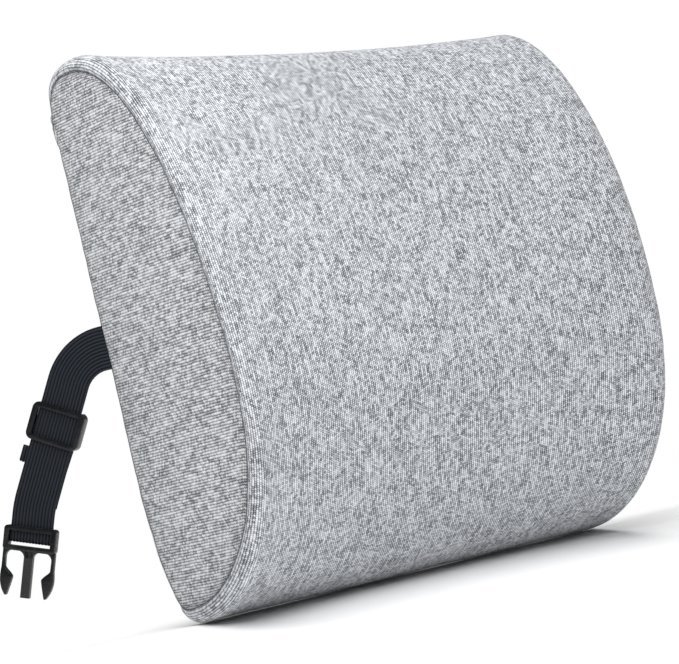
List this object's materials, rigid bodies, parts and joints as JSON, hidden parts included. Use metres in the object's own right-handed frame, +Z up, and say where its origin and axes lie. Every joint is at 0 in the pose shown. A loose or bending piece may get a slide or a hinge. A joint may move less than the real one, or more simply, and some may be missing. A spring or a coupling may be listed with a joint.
{
  "type": "lumbar support cushion",
  "caption": "D-profile lumbar cushion with a hollowed front, a zipped grey fabric cover and an elastic strap with a side-release buckle half on each side.",
  "frame": {"origin": "centre of the flat part of the back panel, which lies on a chair's backrest", "axes": "+Z up, the front faces -Y, +X is to the viewer's right from the front, and the back panel faces +Y"},
  "size_m": [0.444, 0.191, 0.3275],
  "materials": {
    "foam": "open-cell polyurethane foam",
    "front_fabric": "light grey heathered slub weave, ribs up and down",
    "side_fabric": "light grey heathered slub weave, ribs front to back",
    "back_fabric": "light grey heathered slub weave",
    "zip_tape": "grey woven polyester tape",
    "zip_coil": "grey nylon coil",
    "zip_metal": "grey lacquered zinc",
    "webbing": "black ribbed elastic webbing",
    "black_plastic": "black moulded acetal, satin"
  },
  "bodies": {
    "cushion": {"foam_core": "foam", "front_panel": "front_fabric", "back_panel": "back_fabric", "left_side_panel": "side_fabric", "right_side_panel": "side_fabric", "zip_tape_lower": "zip_tape", "zip_tape_upper": "zip_tape", "zip_coil_lower": "zip_coil", "zip_coil_upper": "zip_coil", "zip_stop_left": "zip_metal", "zip_stop_right": "zip_metal"},
    "slider": {"zip_slider": "zip_metal"},
    "pull_tab": {"zip_pull_tab": "zip_metal"},
    "left_strap": {"left_strap": "webbing"},
    "adjuster": {"tri_glide": "black_plastic", "strap_end_loop": "webbing"},
    "male_half": {"male_buckle": "black_plastic"},
    "prong_left": {"male_prong_left": "black_plastic"},
    "prong_right": {"male_prong_right": "black_plastic"},
    "right_strap": {"right_strap": "webbing"},
    "female_half": {"female_buckle": "black_plastic"}
  },
  "joints": [
    {"name": "left_strap_swing", "type": "hinge", "parent": "cushion", "child": "left_strap", "pos_m": [-0.1703, 0, -0.028], "axis": [0, 0, 1], "range_deg": [-73, 90], "stiffness_Nm_per_rad": 0.01},
    {"name": "adjuster_slide", "type": "slide", "parent": "left_strap", "child": "adjuster", "axis": [-0.2781, 0.3971, -0.8746], "range_m": [-0.006, 0.01]},
    {"name": "male_half_swing", "type": "hinge", "parent": "left_strap", "child": "male_half", "pos_m": [-0.20636, 0.0549, -0.12434], "axis": [-0.5439, 0.7768, 0.3173], "range_deg": [-60, 0]},
    {"name": "prong_left_flex", "type": "hinge", "parent": "male_half", "child": "prong_left", "pos_m": [-0.21757, 0.06812, -0.12626], "axis": [-0.8192, -0.5736, 0], "range_deg": [0, 7], "stiffness_Nm_per_rad": 0.02},
    {"name": "prong_right_flex", "type": "hinge", "parent": "male_half", "child": "prong_right", "pos_m": [-0.20043, 0.04365, -0.13626], "axis": [0.8192, 0.5736, 0], "range_deg": [0, 7], "stiffness_Nm_per_rad": 0.02},
    {"name": "right_strap_swing", "type": "hinge", "parent": "cushion", "child": "right_strap", "pos_m": [0.1703, 0, -0.028], "axis": [0, 0, 1], "range_deg": [-93, 70], "stiffness_Nm_per_rad": 0.01},
    {"name": "female_half_swing", "type": "hinge", "parent": "right_strap", "child": "female_half", "pos_m": [0.20446, 0.05099, -0.11144], "axis": [0.502, 0.8033, 0.3205], "range_deg": [-60, 60]},
    {"name": "zip_slide", "type": "slide", "parent": "cushion", "child": "slider", "axis": [1, 0, 0], "range_m": [0, 0.245]},
    {"name": "pull_tab_flip", "type": "hinge", "parent": "slider", "child": "pull_tab", "pos_m": [-0.1227, -0.00959, -0.18582], "axis": [0, 0.4859, 0.874], "range_deg": [0, 180]}
  ]
}
